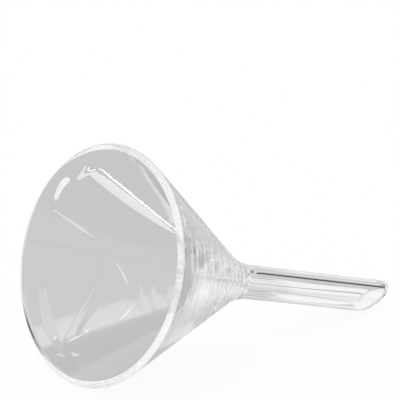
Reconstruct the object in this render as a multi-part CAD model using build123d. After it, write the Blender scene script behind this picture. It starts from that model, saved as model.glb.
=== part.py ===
from build123d import *
import os
from math import asin, atan2, cos, degrees, hypot, radians, sin, tan

# Glass filter funnel with a 60 degree cone and a short cut stem, in millimetres.
# It lies on its side as it comes to rest: on the lowest point of the lip and on the heel of the
# cut stem end, which is the stable way up because the slanting cut turns its short side down.
# +X runs from the mouth to the stem end, +Z is up, and Y = 0 is the plane of symmetry.

# Cone
mouth_diameter = 75.0      # over the rounded lip
cone_angle = 60.0          # full angle of the cone
cone_wall = 2.0            # square to the slope
lip_round = 0.9            # melted edges of the lip

# Stem
stem_diameter = 10.8
bore_diameter = 6.0
stem_length = 67.0         # from the point where the cone would meet the stem to the long tip
tip_angle = 45.0           # between the cut end and the stem's axis
tip_round = 0.8            # melted edges of the cut end

# Throat, where the cone is drawn down into the stem
throat_round_outside = 25.0
throat_round_inside = 30.0

half_angle = radians(cone_angle / 2)
cut_angle = radians(tip_angle)
stem_radius = stem_diameter / 2
bore_radius = bore_diameter / 2

# The rounded lip falls a little short of the sharp corner that it is made from.
lip_loss = lip_round * (tan(half_angle) + 1 / cos(half_angle) - 1)
corner_radius = mouth_diameter / 2 + lip_loss
inner_corner_radius = corner_radius - cone_wall / cos(half_angle)

# Stations along the axis, from the plane of the mouth
throat = (corner_radius - stem_radius) / tan(half_angle)
inner_throat = (inner_corner_radius - bore_radius) / tan(half_angle)
long_tip = throat + stem_length
short_tip = long_tip - stem_diameter / tan(cut_angle)
middle_of_cut = (long_tip + short_tip) / 2


def blown_body():
    """The funnel of revolution about X, with the melted lip and both rounded throats."""
    overrun = stem_radius
    with BuildPart() as body:
        with BuildSketch(Plane.XZ):
            with BuildLine():
                Polyline(
                    (0, inner_corner_radius),
                    (0, corner_radius),
                    (throat, stem_radius),
                    (long_tip + overrun, stem_radius),
                    (long_tip + overrun, bore_radius),
                    (inner_throat, bore_radius),
                    close=True,
                )
            make_face()
        revolve(axis=Axis.X)
        fillet(ring_edge(body, 0, corner_radius), lip_round)
        fillet(ring_edge(body, 0, inner_corner_radius), lip_round)
        fillet(ring_edge(body, throat, stem_radius), throat_round_outside)
        fillet(ring_edge(body, inner_throat, bore_radius), throat_round_inside)
    return body.part


def ring_edge(body, station, radius):
    """The circular edge at this station and radius."""
    return min(
        body.edges().filter_by(GeomType.CIRCLE),
        key=lambda edge: hypot(edge.arc_center.X - station, edge.radius - radius),
    )


def cut_tip(body):
    """The stem's end cut on the slant, long on top, with both of its edges melted round."""
    cut = Plane(
        origin=(middle_of_cut, 0, 0),
        x_dir=(0, 1, 0),
        z_dir=(sin(cut_angle), 0, -cos(cut_angle)),
    )
    body = split(body, bisect_by=cut, keep=Keep.BOTTOM)
    end_face = min(body.faces(), key=lambda face: abs(cut.to_local_coords(face.center()).Z))
    return fillet(end_face.edges(), tip_round)


def rest_angle():
    """How far the axis dips, from the line that touches the lip and the heel of the cut end."""
    lip = (lip_round, mouth_diameter / 2 - lip_round)
    heel = (short_tip - tip_round * tan(cut_angle / 2), stem_radius - tip_round)
    run = heel[0] - lip[0]
    drop = lip[1] - heel[1]
    return atan2(drop, run) + asin((lip_round - tip_round) / hypot(run, drop))


dip = rest_angle()
funnel = Rot(0, degrees(dip), 0) * cut_tip(blown_body())
box = funnel.bounding_box()
funnel = Pos(-box.center().X, 0, -box.min.Z) * funnel

os.makedirs("parts", exist_ok=True)
export_step(funnel, "parts/funnel.step")


def placed(station, radius):
    """Where a point of the untilted funnel lies, as X and Z."""
    x = station * cos(dip) + radius * sin(dip) - box.center().X
    z = radius * cos(dip) - station * sin(dip) - box.min.Z
    return round(x, 3), round(z, 3)


print("dip of the axis", round(degrees(dip), 3))
print("mouth centre", placed(0, 0), "throat", placed(throat, 0))
print("stem end, short", placed(short_tip, 0), "middle", placed(middle_of_cut, 0), "long", placed(long_tip, 0))
print("stations", round(throat, 3), round(inner_throat, 3), round(short_tip, 3), round(long_tip, 3))
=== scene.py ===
from math import asin, atan2, cos, exp, hypot, pi, radians, sin, tan

import bpy
from mathutils import Matrix, Vector, noise


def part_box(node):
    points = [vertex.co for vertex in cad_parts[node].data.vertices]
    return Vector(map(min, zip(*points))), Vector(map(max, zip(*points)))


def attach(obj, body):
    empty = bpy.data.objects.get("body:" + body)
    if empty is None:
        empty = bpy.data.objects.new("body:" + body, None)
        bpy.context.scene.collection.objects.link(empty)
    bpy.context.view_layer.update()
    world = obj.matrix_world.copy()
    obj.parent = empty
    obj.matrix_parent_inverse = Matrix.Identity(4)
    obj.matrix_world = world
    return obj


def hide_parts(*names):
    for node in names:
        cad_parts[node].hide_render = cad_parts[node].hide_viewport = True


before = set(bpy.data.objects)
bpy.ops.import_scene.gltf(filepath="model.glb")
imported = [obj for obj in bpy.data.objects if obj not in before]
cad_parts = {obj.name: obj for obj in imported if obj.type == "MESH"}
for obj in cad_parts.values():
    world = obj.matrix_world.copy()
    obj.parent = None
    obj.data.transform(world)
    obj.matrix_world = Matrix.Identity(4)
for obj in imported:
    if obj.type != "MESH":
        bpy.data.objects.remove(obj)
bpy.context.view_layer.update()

# A clear glass filter funnel that lies on its side, in metres.
MM = 0.001

# The funnel's own sizes, the same as the solid's
MOUTH_RADIUS = 37.5 * MM
HALF_ANGLE = radians(30)
CONE_WALL = 2.0 * MM
LIP_ROUND = 0.9 * MM
STEM_RADIUS = 5.4 * MM
BORE_RADIUS = 3.0 * MM
STEM_LENGTH = 67.0 * MM
TIP_ANGLE = radians(45)
TIP_ROUND = 0.8 * MM
THROAT_ROUND_OUTSIDE = 25.0 * MM
THROAT_ROUND_INSIDE = 30.0 * MM

CORNER_RADIUS = MOUTH_RADIUS + LIP_ROUND * (tan(HALF_ANGLE) + 1 / cos(HALF_ANGLE) - 1)
INNER_CORNER_RADIUS = CORNER_RADIUS - CONE_WALL / cos(HALF_ANGLE)
THROAT = (CORNER_RADIUS - STEM_RADIUS) / tan(HALF_ANGLE)
INNER_THROAT = (INNER_CORNER_RADIUS - BORE_RADIUS) / tan(HALF_ANGLE)
MIDDLE_OF_CUT = THROAT + STEM_LENGTH - STEM_RADIUS / tan(TIP_ANGLE)
SHORT_TIP = MIDDLE_OF_CUT - STEM_RADIUS / tan(TIP_ANGLE)

# How finely the glass is drawn: steps round the axis, in each rounding and along each run
TURN_STEPS = 216
INNER_LIP_STEPS = 8
OUTER_LIP_STEPS = 10
THROAT_STEPS = 36
TIP_STEPS = 8
LIP_FACE_STEPS = 1
CONE_STEPS = 150
STEM_STEPS = 24
CUT_FACE_STEPS = 3


def rest_angle():
    """How far the axis dips, from the line that touches the lip and the heel of the cut end."""
    run = SHORT_TIP - TIP_ROUND * tan(TIP_ANGLE / 2) - LIP_ROUND
    drop = (MOUTH_RADIUS - LIP_ROUND) - (STEM_RADIUS - TIP_ROUND)
    return atan2(drop, run) + asin((LIP_ROUND - TIP_ROUND) / hypot(run, drop))


DIP = rest_angle()
AXIS = Vector((cos(DIP), 0, -sin(DIP)))
TOP = Vector((sin(DIP), 0, cos(DIP)))
SIDE = Vector((0, 1, 0))


def mouth_centre():
    """The middle of the mouth's plane, placed so that the funnel fills the solid's box."""
    low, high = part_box("funnel")
    lip_height = LIP_ROUND * sin(DIP) + (MOUTH_RADIUS - LIP_ROUND) * cos(DIP) + LIP_ROUND
    lip_back = LIP_ROUND * cos(DIP) - (MOUTH_RADIUS - LIP_ROUND) * sin(DIP) - LIP_ROUND
    return Vector((low[0] - lip_back, 0, low[2] + lip_height))


def corners(turn):
    """The section's corners: station, radius, rounding, steps in it and on to the next one."""
    slant = cos(turn) / tan(TIP_ANGLE)
    long_side = MIDDLE_OF_CUT + STEM_RADIUS * slant
    bore_end = MIDDLE_OF_CUT + BORE_RADIUS * slant
    return [
        (0, INNER_CORNER_RADIUS, LIP_ROUND, INNER_LIP_STEPS, LIP_FACE_STEPS),
        (0, CORNER_RADIUS, LIP_ROUND, OUTER_LIP_STEPS, CONE_STEPS),
        (THROAT, STEM_RADIUS, THROAT_ROUND_OUTSIDE, THROAT_STEPS, STEM_STEPS),
        (long_side, STEM_RADIUS, TIP_ROUND, TIP_STEPS, CUT_FACE_STEPS),
        (bore_end, BORE_RADIUS, TIP_ROUND, TIP_STEPS, STEM_STEPS),
        (INNER_THROAT, BORE_RADIUS, THROAT_ROUND_INSIDE, THROAT_STEPS, CONE_STEPS),
    ]


def rounded_section(turn):
    """The closed section with its corners rounded, as points of station and radius."""
    marks = corners(turn)
    arcs = []
    for index, (station, radius, rounding, arc_steps, run_steps) in enumerate(marks):
        here = Vector((station, radius))
        before = Vector(marks[index - 1][:2])
        after = Vector(marks[(index + 1) % len(marks)][:2])
        back = (before - here).normalized()
        on = (after - here).normalized()
        half = back.angle(on) / 2
        centre = here + (back + on).normalized() * rounding / sin(half)
        start = here + back * rounding / tan(half) - centre
        end = here + on * rounding / tan(half) - centre
        sweep = start.angle(end)
        arc = []
        for step in range(arc_steps + 1):
            share = step / arc_steps
            spoke = start * sin((1 - share) * sweep) + end * sin(share * sweep)
            arc.append(centre + spoke / sin(sweep))
        arcs.append((arc, run_steps))
    section = []
    for index, (arc, run_steps) in enumerate(arcs):
        section += arc
        goal = arcs[(index + 1) % len(arcs)][0][0]
        section += [arc[-1].lerp(goal, step / run_steps) for step in range(1, run_steps)]
    return section


# The marks of glass working, in mm. Each pair of stations, counted from the mouth, is a stretch
# in which something comes in or fades out.
RINGS_BEGIN = (5, 9)
RINGS_DEEPEN = (20, 46)
RINGS_END = (57, 63)
INNER_RINGS_BEGIN = (12, 30)
FAR_RINGS_BEGIN = (42, 50)
WAVES_BEGIN = (2, 12)
WAVES_END = (62, 72)
BEAD_ENDS = (3.6, 6.6)

RING_DEPTH = 0.035
THROAT_RING_DEPTH = 0.055
WAVE_DEPTH = 0.02
BEAD_DEPTH = 0.32

# A ring's length along the axis, and how much it changes on the way round
BROAD_RING = (2.6, 0.8)
FINE_RING = (1.1, 1.3)
FINE_SHARE = 0.3
WAVE_LENGTH = 14

# Grooves that the turning left near the throat: station, half width and depth
GROOVES = [
    (33.0, 0.9, 0.05),
    (36.5, 0.8, 0.07),
    (41.0, 0.8, 0.12),
    (43.6, 0.7, 0.12),
    (47.0, 0.8, 0.14),
    (51.3, 0.5, 0.24),
    (54.2, 0.55, 0.27),
    (57.4, 0.6, 0.25),
]

# How even a groove is, and how much it changes on the way round
GROOVE_EVENNESS = 0.7
GROOVE_CHANGE = 1.6

# The near side is the one towards -Y. It comes in between these sines of the turn from the top.
NEAR_SIDE = (0.0, 0.4)

# The inside has rings of its own
INSIDE_SEED = 7


def ramp(value, low, high):
    """0 below low, 1 above high and a smooth rise between."""
    share = min(max((value - low) / (high - low), 0), 1)
    return share * share * (3 - 2 * share)


def ring(along, around, seed, length, change):
    """Smooth unevenness that runs in rings round the axis."""
    return noise.noise(Vector((along / length, change * around[0] + seed, change * around[1])))


def blown(station, radius, turn, inside):
    """How far the worked glass stands off the true surface here, along the radius."""
    along = station / MM
    seed = INSIDE_SEED if inside else 0
    around = (cos(turn), sin(turn))

    # rings left by the turning, clearest where the cone was drawn down to the stem
    near = ramp(-around[1], *NEAR_SIDE)
    depth = RING_DEPTH + THROAT_RING_DEPTH * ramp(along, *RINGS_DEEPEN)
    depth *= ramp(along, *RINGS_BEGIN) * (1 - ramp(along, *RINGS_END))
    on_near_side = ramp(along, *INNER_RINGS_BEGIN) if inside else 1
    depth *= near * on_near_side + (1 - near) * ramp(along, *FAR_RINGS_BEGIN)
    rings = ring(along, around, seed, *BROAD_RING)
    rings += FINE_SHARE * ring(along, around, seed, *FINE_RING)
    lift = depth * rings

    # grooves outside, and on the near side inside too, bend what is seen through the wall
    for middle, half_width, groove_depth in GROOVES:
        place = Vector((middle + seed, GROOVE_CHANGE * around[0], GROOVE_CHANGE * around[1]))
        uneven = max(GROOVE_EVENNESS + noise.noise(place), 0)
        groove = groove_depth * uneven * exp(-(((along - middle) / half_width) ** 2))
        lift += groove * (near if inside else -1)

    # slow waves over the whole cone
    waves = WAVE_DEPTH * ramp(along, *WAVES_BEGIN) * (1 - ramp(along, *WAVES_END))
    out = radius / MM / WAVE_LENGTH
    place = Vector((along / WAVE_LENGTH + seed, out * around[0], out * around[1]))
    lift += waves * noise.noise(place)

    if inside:
        # the lip is a little thicker than the wall
        lift -= BEAD_DEPTH * (1 - ramp(along, *BEAD_ENDS))
    return lift * MM


def is_inside(station, radius):
    """Whether a point of the section is nearer to the axis than the middle of the wall."""
    middle_of_cone_wall = (CORNER_RADIUS + INNER_CORNER_RADIUS) / 2 - station * tan(HALF_ANGLE)
    middle_of_stem_wall = (STEM_RADIUS + BORE_RADIUS) / 2
    return radius < max(middle_of_cone_wall, middle_of_stem_wall)


def make_funnel():
    """The glass as one closed skin, inside and out."""
    origin = mouth_centre()
    points = []
    for turn_step in range(TURN_STEPS):
        turn = 2 * pi * turn_step / TURN_STEPS
        spoke = TOP * cos(turn) + SIDE * sin(turn)
        section = rounded_section(turn)
        for station, radius in section:
            worked = radius + blown(station, radius, turn, is_inside(station, radius))
            points.append(origin + AXIS * station + spoke * worked)
    count = len(section)
    faces = []
    for turn_step in range(TURN_STEPS):
        here = turn_step * count
        there = (turn_step + 1) % TURN_STEPS * count
        for step in range(count):
            after = (step + 1) % count
            faces.append((here + step, here + after, there + after, there + step))
    mesh = bpy.data.meshes.new("glass_funnel")
    mesh.from_pydata(points, [], faces)
    mesh.polygons.foreach_set("use_smooth", [True] * len(mesh.polygons))
    mesh.validate()
    mesh.update()
    funnel = bpy.data.objects.new("glass_funnel", mesh)
    bpy.context.collection.objects.link(funnel)
    return funnel


GLASS_IOR = 1.474
SHIMMER_WIDTH = 5.0 * MM
SHIMMER_HEIGHT = 0.012 * MM


def glass_material():
    """Clear glass, with waves too shallow for the mesh."""
    material = bpy.data.materials.new("clear_glass")
    material.use_nodes = True
    tree = material.node_tree
    shader = tree.nodes["Principled BSDF"]
    shader.inputs["Base Color"].default_value = (1, 1, 1, 1)
    shader.inputs["Roughness"].default_value = 0.0
    shader.inputs["IOR"].default_value = GLASS_IOR
    shader.inputs["Transmission Weight"].default_value = 1.0
    place = tree.nodes.new("ShaderNodeTexCoord").outputs["Object"]
    waves = tree.nodes.new("ShaderNodeTexNoise")
    waves.inputs["Scale"].default_value = 1 / SHIMMER_WIDTH
    waves.inputs["Detail"].default_value = 1.0
    tree.links.new(place, waves.inputs["Vector"])
    bump = tree.nodes.new("ShaderNodeBump")
    bump.inputs["Distance"].default_value = SHIMMER_HEIGHT
    tree.links.new(waves.outputs[0], bump.inputs["Height"])
    tree.links.new(bump.outputs["Normal"], shader.inputs["Normal"])
    return material


def math_node(tree, operation, first, second=None, third=None):
    """The output of a math node with these inputs, numbers or sockets."""
    node = tree.nodes.new("ShaderNodeMath")
    node.operation = operation
    for socket, value in zip(node.inputs, (first, second, third)):
        if value is None:
            continue
        if isinstance(value, (int, float)):
            socket.default_value = value
        else:
            tree.links.new(value, socket)
    return node.outputs[0]


def ray_level(tree, camera, glass, diffuse=0.0):
    """A level of white: seen directly, as glass shows it, and as light on matt surfaces."""
    path = tree.nodes.new("ShaderNodeLightPath").outputs
    in_glass = math_node(tree, "MAXIMUM", path["Is Glossy Ray"], path["Is Transmission Ray"])
    total = math_node(tree, "MULTIPLY", path["Is Camera Ray"], camera)
    total = math_node(tree, "MULTIPLY_ADD", in_glass, glass, total)
    return math_node(tree, "MULTIPLY_ADD", path["Is Diffuse Ray"], diffuse, total)


def rise(tree, value, low, high):
    """0 below low, 1 above high and a smooth rise between."""
    node = tree.nodes.new("ShaderNodeMapRange")
    node.interpolation_type = "SMOOTHSTEP"
    tree.links.new(value, node.inputs["Value"])
    node.inputs["From Min"].default_value = low
    node.inputs["From Max"].default_value = high
    return node.outputs["Result"]


def window(tree, value, low, high, edge):
    """1 between low and high, with soft edges outside them."""
    up = rise(tree, value, low - edge, low)
    down = rise(tree, value, high, high + edge)
    return math_node(tree, "MULTIPLY", up, math_node(tree, "SUBTRACT", 1.0, down))


def turned_window(tree, vector, centre, half_size, turn, edge, unit=1.0):
    """1 inside a rectangle that lies turned by some degrees in a vector's first two parts."""
    mapping = tree.nodes.new("ShaderNodeMapping")
    mapping.vector_type = "TEXTURE"
    mapping.inputs["Location"].default_value = (centre[0] * unit, centre[1] * unit, 0)
    mapping.inputs["Rotation"].default_value = (0, 0, radians(turn))
    mapping.inputs["Scale"].default_value = (unit, unit, unit)
    tree.links.new(vector, mapping.inputs["Vector"])
    split = tree.nodes.new("ShaderNodeSeparateXYZ")
    tree.links.new(mapping.outputs["Vector"], split.inputs[0])
    along = window(tree, split.outputs[0], -half_size[0], half_size[0], edge)
    across = window(tree, split.outputs[1], -half_size[1], half_size[1], edge)
    return math_node(tree, "MULTIPLY", along, across)


def blend_levels(tree, base, patches):
    """Each patch, a mask and its level, is laid over the base."""
    total = base
    for mask, level in patches:
        gap = math_node(tree, "SUBTRACT", level, total)
        total = math_node(tree, "MULTIPLY_ADD", mask, gap, total)
    return total


# The camera sees the world and the floor as white. Glass shows them at other levels, which are
# set so that it has the photograph's tones from the photograph's side.

# The studio as the glass shows it. Azimuths run from +X towards +Y and elevations from the
# horizon, in degrees: lowest and highest azimuth, lowest and highest elevation, softness, level.
# Each wall lies over those before it.
STUDIO_LEVEL = 0.62
WALLS = [
    (-185, -92, -20, 80, 12, 1.0),
    (-60, -25, -5, 12, 5, 1.1),
    (-12, 48, 0, 9, 1.5, 0.72),
    (8, 27, -3, 11, 2, 0.05),
    (18, 48, 10, 18.5, 1.5, 0.75),
    (-30, 22, 20, 46, 2, 0.0),
    (25, 45, 22, 40, 3, 0.33),
    (35, 95, 44, 75, 8, 0.10),
]

# The softbox overhead, as a rectangle in x / z and y / z of a direction
SOFTBOX_CENTRE = (0.253, -0.645)
SOFTBOX_HALF_SIZE = (0.25, 0.65)
SOFTBOX_TURN = -10.5
SOFTBOX_EDGE = 0.02
SOFTBOX_LEVEL = 2.6

# A lower direction counts as this high, so that nothing is divided by zero
LOWEST_HEIGHT = 0.02

# The studio's plain light on the floor, and the share of the floor's white that comes from it
STUDIO_LIGHT = 0.8
SHADED_SHARE = 0.1


def wall_mask(tree, azimuth, elevation, wall):
    """1 where a wall of the studio is."""
    az_low, az_high, el_low, el_high, edge = wall
    across = window(tree, azimuth, az_low, az_high, edge)
    if az_low < -180:
        # the part of the wall past the seam, where azimuths start again
        rest = window(tree, azimuth, az_low + 360, az_high + 360, edge)
        across = math_node(tree, "MAXIMUM", across, rest)
    return math_node(tree, "MULTIPLY", across, window(tree, elevation, el_low, el_high, edge))


def softbox_mask(tree, direction):
    """1 where the softbox is."""
    height = math_node(tree, "MAXIMUM", direction[2], LOWEST_HEIGHT)
    ceiling = tree.nodes.new("ShaderNodeCombineXYZ")
    for axis in (0, 1):
        tree.links.new(math_node(tree, "DIVIDE", direction[axis], height), ceiling.inputs[axis])
    place = ceiling.outputs[0]
    shape = (SOFTBOX_CENTRE, SOFTBOX_HALF_SIZE, SOFTBOX_TURN, SOFTBOX_EDGE)
    return turned_window(tree, place, *shape)


def make_world():
    """White seen directly, with walls and a softbox where glass shows it."""
    world = bpy.data.worlds.new("studio")
    bpy.context.scene.world = world
    world.use_nodes = True
    tree = world.node_tree
    coordinates = tree.nodes.new("ShaderNodeTexCoord")
    split = tree.nodes.new("ShaderNodeSeparateXYZ")
    tree.links.new(coordinates.outputs["Generated"], split.inputs[0])
    direction = split.outputs
    heading = math_node(tree, "ARCTAN2", direction[1], direction[0])
    azimuth = math_node(tree, "MULTIPLY", heading, 180 / pi)
    elevation = math_node(tree, "MULTIPLY", math_node(tree, "ARCSINE", direction[2]), 180 / pi)
    patches = [(wall_mask(tree, azimuth, elevation, wall[:5]), wall[5]) for wall in WALLS]
    patches.append((softbox_mask(tree, direction), SOFTBOX_LEVEL))
    level = blend_levels(tree, STUDIO_LEVEL, patches)
    background = tree.nodes["Background"]
    background.inputs["Color"].default_value = (1, 1, 1, 1)
    total = ray_level(tree, camera=1.0, glass=level, diffuse=STUDIO_LIGHT)
    tree.links.new(total, background.inputs["Strength"])
    # without this the floor's white is grainy
    world.cycles.sampling_method = "NONE"


# The way the camera looks, from +X towards +Y in degrees
VIEW_TURN = 49.8


def facing(away, aside):
    """A place on the floor in mm: behind the funnel's middle, and to the right of it."""
    turn = radians(VIEW_TURN)
    return (away * cos(turn) + aside * sin(turn), away * sin(turn) - aside * cos(turn))


# The floor as the glass shows it, with painted shade and lighter patches that the camera never
# sees.
# The darker patches are painted shadow, among it the funnel's own shadow under the cone and along
# the stem. Its patches, in mm: centre, half size, turn in degrees, softness, level. Each patch
# lies over those before it.
FLOOR_LEVEL = 0.57
FLOOR_PAINTED_SHADE_AND_LIGHT = [
    (facing(40.15, 493.7), (300, 506), VIEW_TURN, 1.5, 0.93),
    (facing(40, 1.3), (300, 13.75), VIEW_TURN, 4, 0.78),
    (facing(440, 159.7), (260, 100), VIEW_TURN, 15, 0.78),
    (facing(420.6, 180.1), (170, 80), VIEW_TURN, 30, 0.66),
    ((49.6, -16), (65, 6), 11.4, 1, 0.10),
    ((152.3, 13.5), (41.5, 6), 22.8, 1, 0.10),
    ((246.8, 58.7), (63, 6), 27.4, 1, 0.25),
    ((7.5, 8), (12.5, 11), 0, 3, 0.60),
    ((8, 12.8), (16, 1.2), 0, 1, 0.30),
    (facing(245, 6), (100, 14), VIEW_TURN, 4, 0.45),
    (facing(252, 50), (93, 14), VIEW_TURN, 4, 0.45),
    ((54.5, 29), (20, 1.8), -46.4, 2, 0.45),
    ((39, 8.2), (14, 1.3), -38, 1, 0.62),
    (facing(107, -3.5), (23, 5.5), VIEW_TURN, 3, 0.35),
    (facing(75, -4.7), (25, 0.5), VIEW_TURN, 0.6, 0.45),
    (facing(75, -2), (25, 0.6), VIEW_TURN, 0.6, 0.35),
    (facing(72, 1.4), (25, 0.5), VIEW_TURN, 0.6, 0.4),
    (facing(-600, 0), (490, 600), VIEW_TURN, 60, 1.0),
]
FLOOR_REACH = 6.0


def floor_material():
    """White to the camera, save for a faint shadow, and where glass shows it, grey with painted
    shade and lighter patches.
    """
    material = bpy.data.materials.new("pale_floor")
    material.use_nodes = True
    tree = material.node_tree
    tree.nodes.clear()
    place = tree.nodes.new("ShaderNodeNewGeometry").outputs["Position"]
    patches = []
    # painted shadow and lighter patches on the floor, which only rays through or off the glass see
    for centre, half_size, turn, edge, level in FLOOR_PAINTED_SHADE_AND_LIGHT:
        patches.append((turned_window(tree, place, centre, half_size, turn, edge, MM), level))
    level = blend_levels(tree, FLOOR_LEVEL, patches)
    total = ray_level(tree, camera=1.0 - SHADED_SHARE, glass=level)
    emission = tree.nodes.new("ShaderNodeEmission")
    tree.links.new(total, emission.inputs["Strength"])
    matt = tree.nodes.new("ShaderNodeBsdfDiffuse")
    seen = tree.nodes.new("ShaderNodeLightPath").outputs["Is Camera Ray"]
    colour = math_node(tree, "MULTIPLY", seen, SHADED_SHARE / STUDIO_LIGHT)
    tree.links.new(colour, matt.inputs["Color"])
    both = tree.nodes.new("ShaderNodeAddShader")
    tree.links.new(emission.outputs[0], both.inputs[0])
    tree.links.new(matt.outputs[0], both.inputs[1])
    out = tree.nodes.new("ShaderNodeOutputMaterial")
    tree.links.new(both.outputs[0], out.inputs["Surface"])
    return material


def make_floor():
    """A plain pale floor."""
    reach = FLOOR_REACH
    mesh = bpy.data.meshes.new("floor")
    edge = [(-reach, -reach, 0), (reach, -reach, 0), (reach, reach, 0), (-reach, reach, 0)]
    mesh.from_pydata(edge, [], [(0, 1, 2, 3)])
    mesh.materials.append(floor_material())
    floor = bpy.data.objects.new("floor", mesh)
    bpy.context.collection.objects.link(floor)


# Small lamps that only reflections show, on a tilted plane through the mouth. For each, in mm: the
# station and the distance to the side of both ends, the width; then the level, and 1 where it
# shines upward or -1 where it shines downward.
LAMP_TILT = radians(25)
LAMP_SIDE = 15
LAMPS = [
    ((3.5, 22.1), (36.5, 9.2), 2.1, 3.6, 1),
    ((6.8, 22.7), (38.0, 9.8), 0.6, 8.0, 1),
    ((1.0, 23.2), (4.8, 25.5), 1.2, 3.0, -1),
    ((3.6, 22.2), (8.8, 26.0), 2.2, 2.5, -1),
    ((-1.3, 20.8), (1.4, 20.1), 0.7, 6.0, 1),
    ((4.8, 18.7), (9.2, 16.5), 0.6, 4.0, -1),
    ((10.9, 15.7), (11.9, 15.05), 0.4, 8.0, -1),
    ((22.3, 11.8), (26.2, 9.9), 0.3, 4.0, -1),
]


def on_lamp_plane(station, side):
    """A place on the lamps' plane, by its station and its distance to the side in mm."""
    lift = (side - LAMP_SIDE) * tan(LAMP_TILT)
    return mouth_centre() + (AXIS * station + SIDE * side + TOP * lift) * MM


def make_lamps():
    """Narrow lamps for the streaks and glints along the upper wall."""
    up = AXIS.cross(SIDE + TOP * tan(LAMP_TILT)).normalized()
    for number, (first, last, width, level, upward) in enumerate(LAMPS):
        start = on_lamp_plane(*first)
        end = on_lamp_plane(*last)
        along = (end - start).normalized()
        back = up * -upward
        across = back.cross(along)
        data = bpy.data.lights.new(f"lamp_{number}", "AREA")
        data.shape = "ELLIPSE"
        data.size = (end - start).length
        data.size_y = width * MM
        # an ellipse shows this level when its power is four times the level times its area
        data.energy = level * pi * data.size * data.size_y
        lamp = bpy.data.objects.new(f"lamp_{number}", data)
        turn = Matrix((along, across, back)).transposed().to_4x4()
        lamp.matrix_world = Matrix.Translation((start + end) / 2) @ turn
        bpy.context.collection.objects.link(lamp)
        lamp.visible_camera = False
        lamp.visible_transmission = False
        lamp.visible_diffuse = False


# The camera stands as the photograph's does. Its scale, in pixels to a mm, holds where it aims.
CAMERA_TURN = radians(-40.23)
CAMERA_RISE = radians(15.97)
CAMERA_DISTANCE = 1.2
AIM = Vector((-14.0, 0, 49.58)) * MM
PIXELS_PER_MM = 3.22
FRAME_PIXELS = 400
SENSOR = 36.0
NEAREST = 0.01
FARTHEST = 30


def make_camera():
    """A long lens, well back."""
    ahead = cos(CAMERA_RISE)
    forward = Vector((-sin(CAMERA_TURN) * ahead, cos(CAMERA_TURN) * ahead, -sin(CAMERA_RISE)))
    data = bpy.data.cameras.new("camera")
    data.sensor_width = SENSOR
    data.lens = SENSOR * (PIXELS_PER_MM / FRAME_PIXELS / MM) * CAMERA_DISTANCE
    data.clip_start = NEAREST
    data.clip_end = FARTHEST
    camera = bpy.data.objects.new("camera", data)
    camera.location = AIM - forward * CAMERA_DISTANCE
    camera.rotation_euler = forward.to_track_quat("-Z", "Y").to_euler()
    bpy.context.collection.objects.link(camera)
    bpy.context.scene.camera = camera


# The white of the lip is light that the wall guides there over many bounces
BOUNCES = 256

bpy.context.scene.view_settings.view_transform = "Standard"
bpy.context.scene.cycles.max_bounces = BOUNCES
bpy.context.scene.cycles.glossy_bounces = BOUNCES
bpy.context.scene.cycles.transmission_bounces = BOUNCES
funnel = make_funnel()
funnel.data.materials.append(glass_material())
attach(funnel, "root")
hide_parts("funnel")
make_world()
make_floor()
make_lamps()
make_camera()
